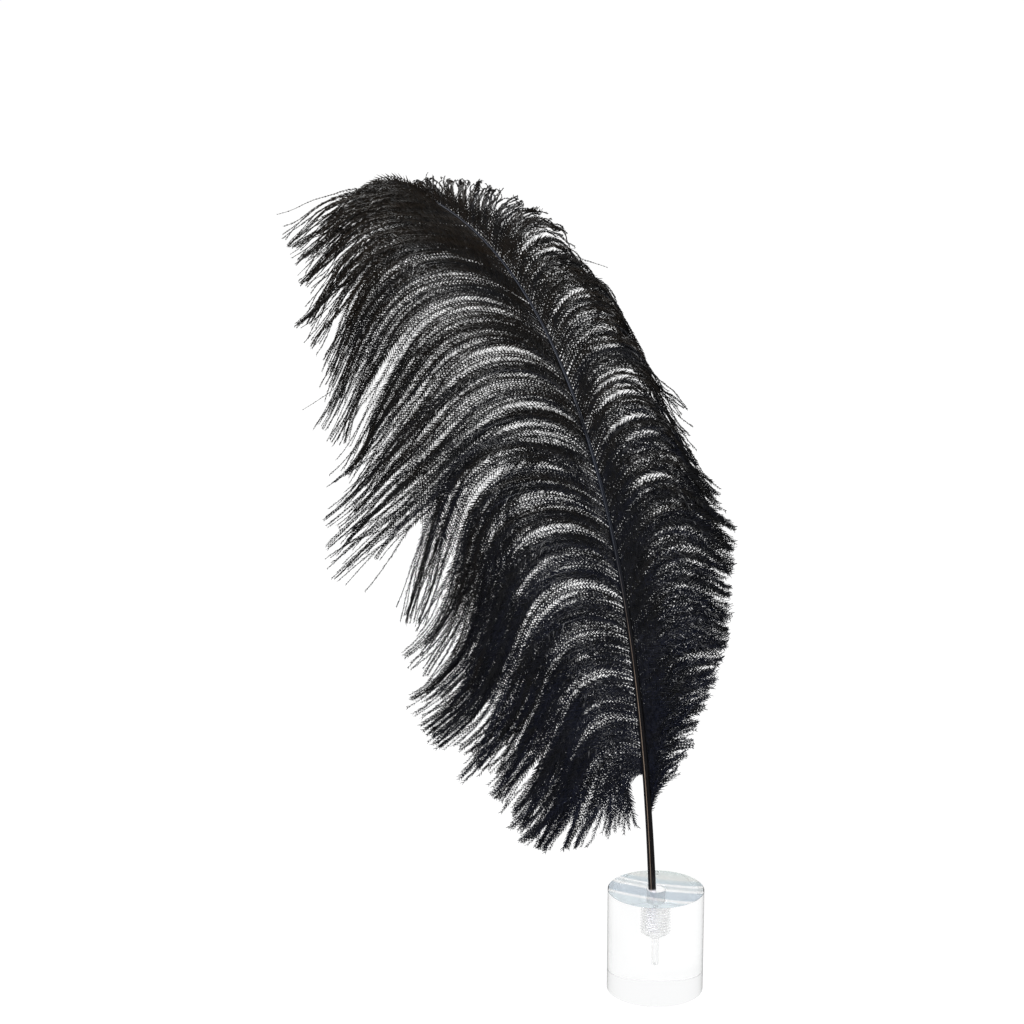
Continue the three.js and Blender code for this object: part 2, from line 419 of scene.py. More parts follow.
# %% [markdown]
# ## Barbs and barbules by Geometry Nodes
# Every barb carries a fringe of barbules on both sides, thousands of hair-fine strokes set at a slant like
# the bones of a herring. That is a thing that repeats along a path, so Geometry Nodes make it: the barb
# paths come in as bare edges, a three-sided tube runs along each, and a thin four-faced sliver is set at
# every step on both sides. The slivers are copies of one small mesh.

# %% The barbule
BARB_THICKNESS = 0.5 * MM
STATION_GAP = 1.6 * MM
BARBULE_LENGTH = 3.6 * MM
BARBULE_WIDTH = 0.56 * MM
BARBULE_SLANT = math.radians(47)
SLANT_STRAY = 0.11  # radians
ROLL_STRAY = 0.4  # radians that a barbule turns about its barb
LENGTH_SPREAD = (0.5, 1.2)  # shares of the length
WIDTH_SPREAD = (0.5, 1.3)


def make_sliver():
    """One barbule: a closed four-faced sliver, flat one way at its root and the other way at its tip."""
    mesh = bpy.data.meshes.new("barbule")
    build = bmesh.new()
    corners = [build.verts.new(c) for c in ((0, -0.5, 0), (0, 0.5, 0), (1, 0, -0.4), (1, 0, 0.4))]
    for a, b, c in ((0, 1, 2), (0, 1, 3), (0, 2, 3), (1, 2, 3)):
        build.faces.new((corners[a], corners[b], corners[c]))
    bmesh.ops.recalc_face_normals(build, faces=build.faces)
    build.to_mesh(mesh)
    build.free()
    return bpy.data.objects.new("barbule", mesh)


barbule = make_sliver()
print("barbule faces", len(barbule.data.polygons))


# %% Helpers that build a node tree
def node(tree, kind, **settings):
    made = tree.nodes.new(kind)
    for name, value in settings.items():
        setattr(made, name, value)
    return made


def wire(tree, output, socket):
    tree.links.new(output, socket)


def feed(tree, socket, value):
    """Sets a plain number or colour, or links an output."""
    if isinstance(value, (int, float, tuple)):
        socket.default_value = value
    else:
        wire(tree, value, socket)


def named_attribute(tree, name, kind="FLOAT"):
    read = node(tree, "GeometryNodeInputNamedAttribute", data_type=kind)
    read.inputs["Name"].default_value = name
    return read.outputs["Attribute"]


def maths(tree, operation, *values):
    made = node(tree, "ShaderNodeMath", operation=operation)
    for socket, value in zip(made.inputs, values):
        feed(tree, socket, value)
    return made.outputs[0]


def random_value(tree, low, high, seed):
    made = node(tree, "FunctionNodeRandomValue", data_type="FLOAT")
    made.inputs[2].default_value = low
    made.inputs[3].default_value = high
    made.inputs["Seed"].default_value = seed
    return made.outputs[1]


def combine(tree, x, y, z):
    made = node(tree, "ShaderNodeCombineXYZ")
    for socket, value in zip(made.inputs, (x, y, z)):
        feed(tree, socket, value)
    return made.outputs[0]


def separate(tree, vector):
    made = node(tree, "ShaderNodeSeparateXYZ")
    wire(tree, vector, made.inputs[0])
    return made.outputs


def as_rotation(tree, euler):
    made = node(tree, "FunctionNodeEulerToRotation")
    wire(tree, euler, made.inputs[0])
    return made.outputs[0]


def turned(tree, rotation, by):
    made = node(tree, "FunctionNodeRotateRotation", rotation_space="LOCAL")
    wire(tree, rotation, made.inputs["Rotation"])
    wire(tree, by, made.inputs["Rotate By"])
    return made.outputs[0]


# %% The fringe tree
def fringe_tree(sliver):
    """Barb paths in, fringed barbs out."""
    tree = bpy.data.node_groups.new("fringed barbs", "GeometryNodeTree")
    face = tree.interface
    face.new_socket("Geometry", in_out="INPUT", socket_type="NodeSocketGeometry")
    for name, value in (
        ("Barb Thickness", BARB_THICKNESS),
        ("Station Gap", STATION_GAP),
        ("Barbule Length", BARBULE_LENGTH),
        ("Barbule Width", BARBULE_WIDTH),
        ("Slant", BARBULE_SLANT),
    ):
        face.new_socket(name, in_out="INPUT", socket_type="NodeSocketFloat").default_value = value
    face.new_socket("Material", in_out="INPUT", socket_type="NodeSocketMaterial")
    face.new_socket("Geometry", in_out="OUTPUT", socket_type="NodeSocketGeometry")
    given = node(tree, "NodeGroupInput").outputs
    result = node(tree, "NodeGroupOutput")

    curves = node(tree, "GeometryNodeMeshToCurve")
    wire(tree, given["Geometry"], curves.inputs["Mesh"])

    # the barb itself: a three-sided tube that thins to its tip
    ring = node(tree, "GeometryNodeCurvePrimitiveCircle", mode="RADIUS")
    ring.inputs["Resolution"].default_value = 3
    ring.inputs["Radius"].default_value = 1.0
    tube = node(tree, "GeometryNodeCurveToMesh")
    wire(tree, curves.outputs[0], tube.inputs["Curve"])
    wire(tree, ring.outputs["Curve"], tube.inputs["Profile Curve"])
    half = maths(tree, "MULTIPLY", given["Barb Thickness"], 0.5)
    wire(tree, maths(tree, "MULTIPLY", half, named_attribute(tree, "thin")), tube.inputs["Scale"])
    tube.inputs["Fill Caps"].default_value = True

    # stations along the barb, each with its own way ahead and its own face
    stations = node(tree, "GeometryNodeResampleCurve", mode="LENGTH")
    wire(tree, curves.outputs[0], stations.inputs["Curve"])
    wire(tree, given["Station Gap"], stations.inputs["Length"])
    tangent = node(tree, "GeometryNodeInputTangent").outputs[0]
    lay = node(tree, "FunctionNodeAxesToRotation", primary_axis="X", secondary_axis="Z")
    wire(tree, tangent, lay.inputs["Primary Axis"])
    wire(tree, named_attribute(tree, "face", "FLOAT_VECTOR"), lay.inputs["Secondary Axis"])

    parts = [tube.outputs["Mesh"]]
    for number, hand in enumerate((1, -1)):
        seed = 10 * number
        roll = as_rotation(tree, combine(tree, random_value(tree, -ROLL_STRAY, ROLL_STRAY, seed + 1), 0, 0))
        angle = maths(tree, "MULTIPLY", given["Slant"], named_attribute(tree, "open"))
        angle = maths(tree, "ADD", angle, random_value(tree, -SLANT_STRAY, SLANT_STRAY, seed + 2))
        slant = as_rotation(tree, combine(tree, 0, 0, maths(tree, "MULTIPLY", angle, hand)))
        rotation = turned(tree, turned(tree, lay.outputs[0], roll), slant)
        reach = maths(tree, "MULTIPLY", given["Barbule Length"], named_attribute(tree, "fringe"))
        reach = maths(tree, "MULTIPLY", reach, random_value(tree, *LENGTH_SPREAD, seed + 3))
        width = maths(tree, "MULTIPLY", given["Barbule Width"], named_attribute(tree, "broad"))
        width = maths(tree, "MULTIPLY", width, random_value(tree, *WIDTH_SPREAD, seed + 4))
        copies = node(tree, "GeometryNodeInstanceOnPoints")
        wire(tree, stations.outputs[0], copies.inputs["Points"])
        source = node(tree, "GeometryNodeObjectInfo", transform_space="ORIGINAL")
        source.inputs["Object"].default_value = sliver
        wire(tree, source.outputs["Geometry"], copies.inputs["Instance"])
        wire(tree, rotation, copies.inputs["Rotation"])
        wire(tree, combine(tree, reach, width, width), copies.inputs["Scale"])
        parts.append(copies.outputs["Instances"])

    together = node(tree, "GeometryNodeJoinGeometry")
    for part in parts:
        wire(tree, part, together.inputs["Geometry"])
    real = node(tree, "GeometryNodeRealizeInstances")
    wire(tree, together.outputs[0], real.inputs[0])
    painted = node(tree, "GeometryNodeSetMaterial")
    wire(tree, real.outputs[0], painted.inputs["Geometry"])
    wire(tree, given["Material"], painted.inputs["Material"])
    wire(tree, painted.outputs[0], result.inputs[0])
    return tree


fringe = fringe_tree(barbule)
print("fringe tree nodes", len(fringe.nodes))

# %% [markdown]
# ## Uneven dye
# Dye takes unevenly on keratin. Barbs and shaft share that effect, so it is one shader group: soft patches
# in object space, put out as a number round one half that each material turns into colour and gloss.


# %% The uneven dye group
def noise(tree, vector, scale, detail):
    made = node(tree, "ShaderNodeTexNoise")
    wire(tree, vector, made.inputs["Vector"])
    feed(tree, made.inputs["Scale"], scale)
    made.inputs["Detail"].default_value = detail
    return made.outputs["Fac"]


def uneven_dye_group():
    group = bpy.data.node_groups.new("uneven dye", "ShaderNodeTree")
    group.interface.new_socket("Scale", in_out="INPUT", socket_type="NodeSocketFloat").default_value = 40
    group.interface.new_socket("Contrast", in_out="INPUT", socket_type="NodeSocketFloat").default_value = 1
    group.interface.new_socket("Patches", in_out="OUTPUT", socket_type="NodeSocketFloat")
    given = node(group, "NodeGroupInput").outputs
    place = node(group, "ShaderNodeTexCoord").outputs["Object"]
    off = maths(group, "SUBTRACT", noise(group, place, given["Scale"], 3), 0.5)
    spread = maths(group, "MULTIPLY", off, given["Contrast"])
    result = node(group, "NodeGroupOutput")
    wire(group, maths(group, "ADD", spread, 0.5), result.inputs["Patches"])
    return group


uneven_dye = uneven_dye_group()


def patches(tree, scale, contrast):
    made = node(tree, "ShaderNodeGroup", node_tree=uneven_dye)
    made.inputs["Scale"].default_value = scale
    made.inputs["Contrast"].default_value = contrast
    return made.outputs["Patches"]


print("group", uneven_dye.name)

# %% [markdown]
# ## Dyed keratin
# Black dye leaves the barbs nearly black, with a brown cast at the plume's head, where it is thin, and a
# blue one towards the quill. Each barb carries its own tint as an attribute on its points, and the patches
# of uneven dye move it a little.


# %% Barb material
def principled(name):
    material = bpy.data.materials.new(name)
    material.use_nodes = True
    return material, material.node_tree, material.node_tree.nodes["Principled BSDF"]


def ramp(tree, value, stops):
    made = node(tree, "ShaderNodeValToRGB")
    band = made.color_ramp
    band.elements[0].position, band.elements[0].color = stops[0][0], (*stops[0][1], 1)
    band.elements[1].position, band.elements[1].color = stops[-1][0], (*stops[-1][1], 1)
    for position, colour in stops[1:-1]:
        band.elements.new(position).color = (*colour, 1)
    wire(tree, value, made.inputs["Fac"])
    return made.outputs["Color"]


def remap(tree, value, low, high, to_low=0.0, to_high=1.0):
    made = node(tree, "ShaderNodeMapRange", interpolation_type="SMOOTHSTEP")
    wire(tree, value, made.inputs["Value"])
    for name, number in (("From Min", low), ("From Max", high), ("To Min", to_low), ("To Max", to_high)):
        made.inputs[name].default_value = number
    return made.outputs["Result"]


def mixed(tree, share, first, second):
    made = node(tree, "ShaderNodeMix", data_type="RGBA")
    feed(tree, made.inputs["Factor"], share)
    feed(tree, made.inputs[6], first)
    feed(tree, made.inputs[7], second)
    return made.outputs[2]


def barb_material():
    material, tree, shader = principled("dyed barbs")
    tint = node(tree, "ShaderNodeAttribute", attribute_name="tint").outputs["Fac"]
    cloud = patches(tree, 45, 1.2)
    shade = maths(tree, "ADD", maths(tree, "MULTIPLY", tint, 0.7), maths(tree, "MULTIPLY", cloud, 0.3))
    brown, plain, blue = (0.0085, 0.0055, 0.0030), (0.0027, 0.0029, 0.0034), (0.0022, 0.0036, 0.0120)
    colour = ramp(tree, shade, [(0.15, brown), (0.45, plain), (0.85, blue)])
    wire(tree, colour, shader.inputs["Base Color"])
    wire(tree, remap(tree, cloud, 0.2, 0.8, 0.28, 0.4), shader.inputs["Roughness"])
    shader.inputs["Specular IOR Level"].default_value = 0.5
    return material


dyed = barb_material()
print("material", dyed.name)

# %% [markdown]
# ## Growing the vanes
# Each side of the vane is grown in a few pieces from the foot to the tip, so that no mesh gets too heavy.
# A barb's points carry what the tree reads: how thin the barb is, how far its barbules reach, how wide they
# stand open and how broad they are. The fringe closes round a barb's tip like a wet brush, and more so the
# higher the barb grows. It stays most open at the foot of the short side, where the barbules are also short.
# The tufts and the stray wisps wear the long side's fringe.


# %% Guides to fringed barbs
TIP_THINNING = 0.6  # share of its thickness that a barb loses towards its tip
ROOT_REACH = 0.25  # of a barbule's length, at the barb's root
TINT_OF_PLACE = 0.75  # how far the dye turns from brown at the head to blue at the foot
TINT_FLOOR = 0.1
TINT_STRAY = 0.25
WISP_FLUFF = 0.5  # of a barbule's length, on a stray wisp


def fringe_of(side, place, fluff):
    """Thinness, reach, openness and breadth of the fringe along a barb."""
    full = cling_at(side, place)[2]
    thin = 1 - TIP_THINNING * ALONG
    closed = float(ease(place, 0.3, 0.6))
    if side == "left":
        sleek = 0.5 * float(ease(place, 0.8, 0.92))
        closed = 0.5 + 0.5 * closed
        early = 0.4 * sleek
        downy = 1.0
    else:
        sleek = 0.35 * float(ease(place, 0.84, 0.92))
        early = 0.35 * closed
        downy = 0.3 + 0.7 * float(ease(place, 0, 0.14))
    reach = downy * (ROOT_REACH + (1 - ROOT_REACH) * ease(ALONG, 0, 0.1)) * (1 - 0.3 * sleek)
    reach *= 1 - (0.3 + 0.2 * closed) * ease(ALONG, 0.6 - early, 1.0 - early)
    open_ = (1 - 0.3 * sleek) * (1 - (0.2 + 0.5 * closed) * ease(ALONG, 0.5 - early, 0.95 - early))
    broad = full * (1 - 0.25 * ease(ALONG, 0.6, 1.0))
    return thin, reach * fluff, open_, broad


def guide_mesh(name, side, lines, fluff):
    """Barb paths as a mesh of bare edges with the attributes that the tree reads."""
    count = STATIONS + 1
    mesh = bpy.data.meshes.new(name)
    points = np.concatenate([path for path, _, _ in lines]) * MM
    edges = [(k * count + i, k * count + i + 1) for k in range(len(lines)) for i in range(STATIONS)]
    mesh.from_pydata(points.tolist(), edges, [])
    looks = np.concatenate([np.stack(fringe_of(side, place, fluff), axis=1) for _, _, place in lines])
    own = [
        TINT_OF_PLACE * (1 - place) + TINT_FLOOR + dice.uniform(-TINT_STRAY, TINT_STRAY)
        for _, _, place in lines
    ]
    faces = np.concatenate([face for _, face, _ in lines])
    for key, values in (
        ("thin", looks[:, 0]),
        ("fringe", looks[:, 1]),
        ("open", looks[:, 2]),
        ("broad", looks[:, 3]),
        ("tint", np.repeat(np.clip(own, 0, 1), count)),
    ):
        mesh.attributes.new(key, "FLOAT", "POINT").data.foreach_set("value", values)
    mesh.attributes.new("face", "FLOAT_VECTOR", "POINT").data.foreach_set("vector", faces.ravel())
    return mesh


def socket_id(tree, name):
    for item in tree.interface.items_tree:
        if item.item_type == "SOCKET" and item.in_out == "INPUT" and item.name == name:
            return item.identifier
    raise KeyError(name)


def triangles(mesh):
    return sum(len(face.vertices) - 2 for face in mesh.polygons)


def grow(name, side, lines, fluff=1.0):
    """Runs the fringe tree on some barb paths and keeps the result as a plain mesh."""
    thing = add_object(name + "_guides", guide_mesh(name + "_guides", side, lines, fluff))
    modifier = thing.modifiers.new("fringe", "NODES")
    modifier.node_group = fringe
    modifier[socket_id(fringe, "Material")] = dyed
    bpy.context.view_layer.update()
    evaluated = thing.evaluated_get(bpy.context.evaluated_depsgraph_get())
    mesh = bpy.data.meshes.new_from_object(evaluated)
    thing.modifiers.remove(modifier)
    bpy.data.objects.remove(thing)
    mesh.name = name
    print(name, triangles(mesh), "triangles")
    return add_object(name, mesh)


# %% The vanes
SECTIONS = {
    "left_vane_foot": ("left", 0, 9),
    "left_vane_lower": ("left", 9, 15),
    "left_vane_middle": ("left", 15, 20),
    "left_vane_upper": ("left", 20, 25),
    "left_vane_tip": ("left", 25, 32),
    "right_vane_foot": ("right", 0, 14),
    "right_vane_tip": ("right", 14, 26),
}
vanes = []
for name, (side, first, last) in SECTIONS.items():
    lines = [line for lock in barbs[side][first:last] for line in lock]
    vanes.append(grow(name, side, lines))
vanes.append(grow("tufts", "left", tufts))
vanes.append(grow("stray_wisps", "left", wisps, WISP_FLUFF))
print("fringed barbs", sum(triangles(vane.data) for vane in vanes), "triangles")

# %% [markdown]
# ## The shaft
# The bare quill is a glossy tube; further up, the shaft has a channel down its front with a low ridge on
# each side. A section is carried up the curve and shrunk as it goes, which keeps the channel crisp all the
# way. Its own map, round the shaft and along it, carries a painted highlight beside the channel: a narrow
# line, brown on the quill and pale blue-grey further up.

# %% Shaft mesh
BLOCK_HEIGHT = 55.0
QUILL_RADIUS = 2.2
TIP_RADIUS = 0.45
TAPER = 0.8
SHAFT_RINGS = 170
SHAFT_SIDES = 32
FRONT = math.pi / 2  # the angle round the shaft that looks along -Y
CHANNEL_WIDTH, CHANNEL_DEPTH = 0.28, 0.3  # radians, and share of the radius
RIDGE_PLACE, RIDGE_WIDTH, RIDGE_HEIGHT = 0.62, 0.24, 0.07
QUILL_CUT = 0.35  # share of the channel and its ridges that the bare quill has
CUT_FROM, CUT_TO = 30, 90  # mm up the shaft over which they grow to the full


def section(angle, cut):
    """How far out the skin is at an angle, as a share of the radius."""
    off = abs(math.remainder(angle - FRONT, 2 * math.pi))
    channel = math.exp(-((off / CHANNEL_WIDTH) ** 2))
    ridge = math.exp(-(((off - RIDGE_PLACE) / RIDGE_WIDTH) ** 2))
    return 1 + cut * (RIDGE_HEIGHT * ridge - CHANNEL_DEPTH * channel)


def shaft_mesh():
    mesh = bpy.data.meshes.new("shaft")
    build = bmesh.new()
    chart = build.loops.layers.uv.new("round and along")
    steps = np.linspace(0, SHAFT_LENGTH, SHAFT_RINGS + 1)
    places = shaft_at(steps)
    ways = np.gradient(places, axis=0)
    rings = []
    for distance, place, way in zip(steps, places, ways):
        way = way / np.linalg.norm(way)
        wide = np.array([way[2], 0, -way[0]])
        wide = wide / np.linalg.norm(wide)
        front = np.cross(wide, way)
        radius = QUILL_RADIUS + (TIP_RADIUS - QUILL_RADIUS) * (distance / SHAFT_LENGTH) ** TAPER
        cut = QUILL_CUT + (1 - QUILL_CUT) * float(ease(distance, CUT_FROM, CUT_TO))
        ring = []
        for side in range(SHAFT_SIDES):
            angle = 2 * math.pi * side / SHAFT_SIDES
            reach = radius * section(angle, cut)
            point = place + (wide * math.cos(angle) + front * math.sin(angle)) * reach
            ring.append(build.verts.new(point * MM))
        rings.append(ring)
    for k, (low, high) in enumerate(zip(rings, rings[1:])):
        for i in range(SHAFT_SIDES):
            j = (i + 1) % SHAFT_SIDES
            face = build.faces.new((low[i], low[j], high[j], high[i]))
            for loop, (du, dv) in zip(face.loops, ((0, 0), (1, 0), (1, 1), (0, 1))):
                loop[chart].uv = ((i + du) / SHAFT_SIDES, (k + dv) / SHAFT_RINGS)
    build.faces.new(rings[0][::-1])
    build.faces.new(rings[-1])
    bmesh.ops.recalc_face_normals(build, faces=build.faces)
    for face in build.faces:
        face.smooth = len(face.verts) == 4
    build.to_mesh(mesh)
    build.free()
    return mesh


# %% Shaft material
HOLE_LIGHT_PAINT = (0.84, 0.82, 0.87)  # painted light: near white on the quill's end in the hole, so the hole looks bright through the block
DYED_HORN = (0.005, 0.004, 0.004)
FIBRES_ROUND, FIBRES_ALONG = 60, 30
HIGHLIGHT_TURN = 0.3  # where the painted highlight line runs, as a share of a turn
HIGHLIGHT_FULL, HIGHLIGHT_GONE = 0.005, 0.016  # shares of a turn to each side of it


def shaft_material():
    material, tree, shader = principled("dyed horn")
    chart = node(tree, "ShaderNodeUVMap", uv_map="round and along").outputs[0]
    turn, along, _ = separate(tree, chart)
    around = maths(tree, "MULTIPLY", turn, FIBRES_ROUND)
    upward = maths(tree, "MULTIPLY", along, FIBRES_ALONG)
    fibres = noise(tree, combine(tree, around, upward, 0), 1.0, 4)

    cloud = patches(tree, 60, 1.4)
    # painted light: below the block's top the quill is near white, so its end reads as the bright hole and
    # not as a dark rod
    hole = (BLOCK_HEIGHT - SHAFT_POINTS[0][2]) / SHAFT_LENGTH
    ground = ramp(tree, along, [
        (0.0, HOLE_LIGHT_PAINT),
        (hole, HOLE_LIGHT_PAINT),
        (hole + 0.001, DYED_HORN),
        (0.4, (0.005, 0.005, 0.006)),
        (0.6, (0.010, 0.012, 0.018)),
        (1.0, (0.014, 0.015, 0.020)),
    ])
    # painted highlight: a narrow line beside the channel, strong on the quill, fainter half way up and
    # stronger again near the tip, broken up by the fibres
    off = maths(tree, "ABSOLUTE", maths(tree, "SUBTRACT", turn, HIGHLIGHT_TURN))
    line = remap(tree, off, HIGHLIGHT_FULL, HIGHLIGHT_GONE, 1.0, 0.0)
    highlight_fade = ramp(tree, along, [
        (0.0, (1, 1, 1)),
        (0.3, (1, 1, 1)),
        (0.42, (0.45, 0.45, 0.45)),
        (1.0, (0.9, 0.9, 0.9)),
    ])
    fibre_break = remap(tree, fibres, 0.3, 0.6, 0.45, 1.0)
    brown = maths(tree, "MULTIPLY", maths(tree, "MULTIPLY", line, highlight_fade), fibre_break)
    # colour of the painted highlight: brown on the quill, pale blue-grey further up
    mark = ramp(tree, along, [
        (0.0, (0.20, 0.15, 0.12)),
        (0.2, (0.34, 0.26, 0.20)),
        (0.38, (0.28, 0.21, 0.17)),
        (0.5, (0.12, 0.13, 0.16)),
        (1.0, (0.12, 0.13, 0.15)),
    ])
    wire(tree, mixed(tree, brown, ground, mark), shader.inputs["Base Color"])
    wire(tree, remap(tree, cloud, 0.2, 0.8, 0.22, 0.38), shader.inputs["Roughness"])
    shader.inputs["Specular IOR Level"].default_value = 0.2
    bump = node(tree, "ShaderNodeBump")
    bump.inputs["Strength"].default_value = 0.35
    bump.inputs["Distance"].default_value = 0.05 * MM
    wire(tree, fibres, bump.inputs["Height"])
    wire(tree, bump.outputs[0], shader.inputs["Normal"])
    return material


shaft = add_object("shaft", shaft_mesh())
shaft.data.materials.append(shaft_material())
print("shaft", triangles(shaft.data), "triangles")

# %% [markdown]
# ## The clear block
# The block is turned from clear rod, drilled, and tapped for a bolt. Its outside is a profile carried
# round. The wall of the hole wobbles in and out as it goes round and down, which is what a thread is, and
# its slanted flanks are why the quill's end cannot be seen through the block. Below it a narrow pilot hole
# shows a drill's marks.

# %% Block mesh
BLOCK_RADIUS = 25.0
BLOCK_EDGE = 0.08
BLOCK_SIDES = 96
THREAD_PITCH = 1.5
THREAD_CREST = 4.2
THREAD_ROOT = 5.0
THREAD_DEPTH = 21.0
THREAD_ROWS = 16  # in each turn
THREAD_LEAD = (0.3, 1.2)  # mm down over which the thread begins
THREAD_RUNOUT = 1.5  # mm over which it ends
FLANK_SLOPE = 1.6  # 1 is a plain zigzag, more leaves flats at crest and root
PILOT_RADIUS = 1.25
PILOT_DEPTH = 38.0
DRILL_POINT = math.tan(math.radians(31))
FOOT_RING = 12.0  # radius of a ring that keeps the foot's faces short
EDGE_STEPS = 5
EDGE_GUARD = 0.3  # mm from a rounded edge to the ring that keeps the flat beside it flat
MOUTH_RINGS = (5.6, 5.3)  # radii of the same kind of ring round the hole's mouth
PILOT_ROWS = 40
DRILL_MARK = 0.07
SEAT = 0.05  # mm that the foot is kept off the floor, so that the two skins do not fight


def thread_radius(angle, depth):
    """The wall of the tapped hole: in and out by half a thread, once in each pitch."""
    turn = (depth / THREAD_PITCH - angle / (2 * math.pi)) % 1
    flank = min(0.5, max(-0.5, FLANK_SLOPE * (abs(2 * turn - 1) - 0.5)))
    fade = ease(depth, *THREAD_LEAD) * (1 - ease(depth, THREAD_DEPTH - THREAD_RUNOUT, THREAD_DEPTH))
    chatter = 0.03 * math.sin(7 * angle + 3 * depth) + 0.02 * math.sin(13 * angle - 5 * depth)
    return (THREAD_CREST + THREAD_ROOT) / 2 + (flank * (THREAD_ROOT - THREAD_CREST) + chatter) * float(fade)


def block_rings():
    """Rings from the foot, up the outside, over the top and down the hole, as radius rules and heights."""
    inner = BLOCK_RADIUS - BLOCK_EDGE - EDGE_GUARD
    rings = [(lambda a: FOOT_RING, SEAT), (lambda a: inner, SEAT)]
    for foot in (True, False):
        turn = [math.pi / 2 * k / EDGE_STEPS for k in range(EDGE_STEPS + 1)]
        for t in turn if foot else turn[::-1]:
            out = BLOCK_RADIUS - BLOCK_EDGE + BLOCK_EDGE * math.sin(t)
            drop = BLOCK_EDGE - BLOCK_EDGE * math.cos(t)
            rings.append((lambda a, r=out: r, SEAT + drop if foot else BLOCK_HEIGHT - drop))
        if foot:
            rings.append((lambda a: BLOCK_RADIUS, SEAT + BLOCK_EDGE + EDGE_GUARD))
            rings.append((lambda a: BLOCK_RADIUS, BLOCK_HEIGHT - BLOCK_EDGE - EDGE_GUARD))
    rings.append((lambda a: inner, BLOCK_HEIGHT))
    for radius in MOUTH_RINGS:
        rings.append((lambda a, r=radius: r, BLOCK_HEIGHT))
    rows = int(THREAD_DEPTH / THREAD_PITCH * THREAD_ROWS)
    for k in range(1, rows + 1):
        depth = THREAD_DEPTH * k / rows
        rings.append((lambda a, d=depth: thread_radius(a, d), BLOCK_HEIGHT - depth))
    mean = (THREAD_CREST + THREAD_ROOT) / 2
    floor = BLOCK_HEIGHT - THREAD_DEPTH - (mean - PILOT_RADIUS) * DRILL_POINT
    end = BLOCK_HEIGHT - PILOT_DEPTH
    for k in range(1, PILOT_ROWS + 1):
        share = k / PILOT_ROWS
        mark = DRILL_MARK * math.sin(k * 2.1) * (k < PILOT_ROWS)
        rings.append((lambda a, r=PILOT_RADIUS + mark: r, floor + (end - floor) * share))
    return rings, end - PILOT_RADIUS * DRILL_POINT


def block_mesh():
    mesh = bpy.data.meshes.new("clear_block")
    build = bmesh.new()
    rules, bottom = block_rings()
    angles = [2 * math.pi * i / BLOCK_SIDES for i in range(BLOCK_SIDES)]
    rings = []
    for rule, height in rules:
        ring = []
        for angle in angles:
            radius = rule(angle)
            spot = Vector((radius * math.cos(angle), radius * math.sin(angle), height))
            ring.append(build.verts.new(spot * MM))
        rings.append(ring)
    for low, high in zip(rings, rings[1:]):
        for i in range(BLOCK_SIDES):
            j = (i + 1) % BLOCK_SIDES
            build.faces.new((low[i], low[j], high[j], high[i]))
    for ring, height in ((rings[0], SEAT), (rings[-1], bottom)):
        pole = build.verts.new(Vector((0, 0, height)) * MM)
        for i in range(BLOCK_SIDES):
            build.faces.new((ring[i], ring[(i + 1) % BLOCK_SIDES], pole))
    bmesh.ops.recalc_face_normals(build, faces=build.faces)
    for face in build.faces:
        face.smooth = True
    build.to_mesh(mesh)
    build.free()
    mesh.set_sharp_from_angle(angle=math.radians(50))
    return mesh


block = add_object("clear_block", block_mesh())
print("block", triangles(block.data), "triangles")

# %% [markdown]
# ## Clear acrylic
# Acrylic is plain transmission with its own bending of light and a trace of absorption. The sawn top was
# polished in long, slightly bowed strokes, which show as grey-blue bands with clear lines between them. The
# bands run across the top face only, so a height test keeps them there.


# %% Acrylic
def seen_through(*levels):
    """The base colour of a clear skin that shows white behind it as this screen colour, 0 to 255."""
    return tuple(((v / 255 + 0.055) / 1.055) ** 4.8 for v in levels)


CLEAR = (1.0, 1.0, 1.0)
STROKES = [  # mm across the strokes, colour
    (-25, seen_through(228, 236, 240)),
    (-16, seen_through(228, 236, 240)),
    (-14.5, CLEAR),
    (-12.8, CLEAR),
    (-11.5, seen_through(206, 216, 224)),
    (-6, seen_through(212, 220, 228)),
    (-2, seen_through(210, 219, 226)),
    (-1, CLEAR),
    (1, CLEAR),
    (2, seen_through(228, 232, 233)),
    (4.8, seen_through(224, 229, 231)),
    (5.8, CLEAR),
    (7.5, CLEAR),
    (8.8, seen_through(210, 220, 225)),
    (13, seen_through(219, 227, 229)),
    (15, seen_through(235, 236, 233)),
    (25, seen_through(226, 233, 231)),
]
STROKE_SLOPE = 0.37
STROKE_BOW = -6.8  # per metre
STROKE_WOBBLE = 0.004  # metres
HOLE_REACH = 5.2  # mm from the axis: the skin within it is the hole's
HOLE_LOW = 10  # mm: the skin below this is the foot's
HOLE_ROUGHNESS = 0.42


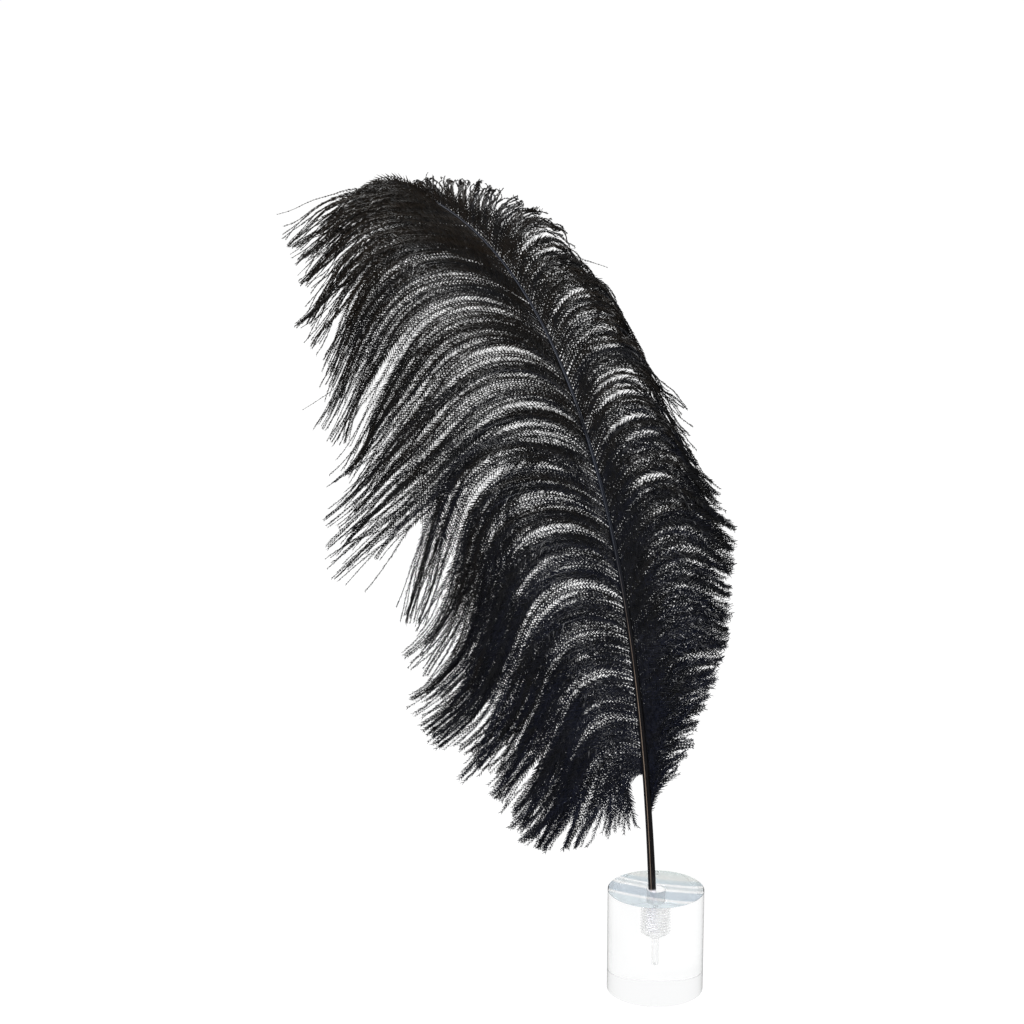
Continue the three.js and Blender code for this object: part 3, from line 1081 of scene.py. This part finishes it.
def acrylic():
    material, tree, shader = principled("clear acrylic")
    place = node(tree, "ShaderNodeTexCoord").outputs["Object"]
    x, y, z = separate(tree, place)
    fine = maths(tree, "SUBTRACT", noise(tree, place, 70, 2), 0.5)
    wobble = maths(tree, "MULTIPLY", fine, STROKE_WOBBLE)
    bow = maths(tree, "MULTIPLY", maths(tree, "MULTIPLY", x, x), STROKE_BOW)
    across = maths(tree, "ADD", maths(tree, "ADD", y, maths(tree, "MULTIPLY", x, STROKE_SLOPE)), bow)
    across = maths(tree, "ADD", across, wobble)
    width = 2 * BLOCK_RADIUS
    share = maths(tree, "ADD", maths(tree, "MULTIPLY", across, 1 / (width * MM)), 0.5)
    bands = ramp(tree, share, [(s / width + 0.5, colour) for s, colour in STROKES])
    top = maths(tree, "GREATER_THAN", z, (BLOCK_HEIGHT - 0.1) * MM)
    wire(tree, mixed(tree, top, (*CLEAR, 1), bands), shader.inputs["Base Color"])
    squares = maths(tree, "ADD", maths(tree, "MULTIPLY", x, x), maths(tree, "MULTIPLY", y, y))
    near_axis = maths(tree, "LESS_THAN", maths(tree, "SQRT", squares), HOLE_REACH * MM)
    in_hole = maths(tree, "MULTIPLY", near_axis, maths(tree, "GREATER_THAN", z, HOLE_LOW * MM))
    wire(tree, maths(tree, "MULTIPLY", in_hole, HOLE_ROUGHNESS), shader.inputs["Roughness"])
    shader.inputs["IOR"].default_value = 1.49
    shader.inputs["Transmission Weight"].default_value = 1.0
    thick = node(tree, "ShaderNodeVolumeAbsorption")
    thick.inputs["Color"].default_value = (0.86, 0.95, 0.97, 1)
    thick.inputs["Density"].default_value = 1.0
    ends = next(n for n in tree.nodes if n.type == "OUTPUT_MATERIAL")
    wire(tree, thick.outputs[0], ends.inputs["Volume"])
    return material


block.data.materials.append(acrylic())
print("material", block.data.materials[0].name)

# %% [markdown]
# ## Studio
# The plume stands on a white light table before a white wall, so nothing throws a shadow and the clear
# block all but vanishes. What lies ahead of the camera is white, and the rest of the room is dimmer, which
# draws the block's edges and keeps the black barbs black. One broad light from the upper left puts a sheen
# on the barbs and a softer one fills from the right.


# %% Floor, light and world
TABLE_REACH = 8  # metres to each side
TABLE_GLOW = 0.08
ROOM_GLOW = 0.08
LIGHT_AIM = (0, 0, 0.25)  # the middle of the plume


def flat_piece(name, corners, height):
    mesh = bpy.data.meshes.new(name)
    mesh.from_pydata([(x, y, height) for x, y in corners], [], [tuple(range(len(corners)))])
    thing = add_object(name, mesh)
    return thing


def white_only_ahead(tree, dim):
    """1 for what the camera sees straight or through the clear block, and dim for all other light."""
    path = node(tree, "ShaderNodeLightPath").outputs
    seen = maths(tree, "MAXIMUM", path["Is Camera Ray"], path["Is Transmission Ray"])
    return remap(tree, seen, 0.0, 1.0, dim, 1.0)


def make_floor():
    reach = TABLE_REACH
    floor = flat_piece("light_table", [(-reach, -reach), (reach, -reach), (reach, reach), (-reach, reach)], 0)
    material, tree, shader = principled("light table")
    shader.inputs["Base Color"].default_value = (0.05, 0.05, 0.05, 1)
    shader.inputs["Roughness"].default_value = 0.9
    shader.inputs["Emission Color"].default_value = (1, 1, 1, 1)
    wire(tree, white_only_ahead(tree, TABLE_GLOW), shader.inputs["Emission Strength"])
    floor.data.materials.append(material)


def make_world():
    world = bpy.data.worlds.new("studio")
    bpy.context.scene.world = world
    world.use_nodes = True
    back = world.node_tree.nodes["Background"]
    back.inputs["Color"].default_value = (1, 1, 1, 1)
    wire(world.node_tree, white_only_ahead(world.node_tree, ROOM_GLOW), back.inputs["Strength"])


def make_light(name, place, size, power):
    data = bpy.data.lights.new(name, "AREA")
    data.shape = "SQUARE"
    data.size = size
    data.energy = power
    light = add_object(name, data)
    light.location = place
    light.visible_transmission = False
    way = Vector(LIGHT_AIM) - Vector(place)
    light.rotation_euler = way.to_track_quat("-Z", "Y").to_euler()


make_floor()
make_world()
make_light("key", (-1.2, -1.6, 2.0), size=0.8, power=110)
make_light("fill", (1.6, -1.4, 1.2), size=1.2, power=30)
bpy.context.scene.view_settings.view_transform = "Standard"

# %% [markdown]
# ## Hand over
# Every piece rides on the part's one body. The fringed barbs and the shaft stand for the solid feather,
# and the threaded block for the plain one.

# %% Hand over
bpy.data.objects.remove(barbule)
for piece in vanes + [shaft]:
    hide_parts("feather")
    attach(piece, "root")
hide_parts("stand")
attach(block, "root")
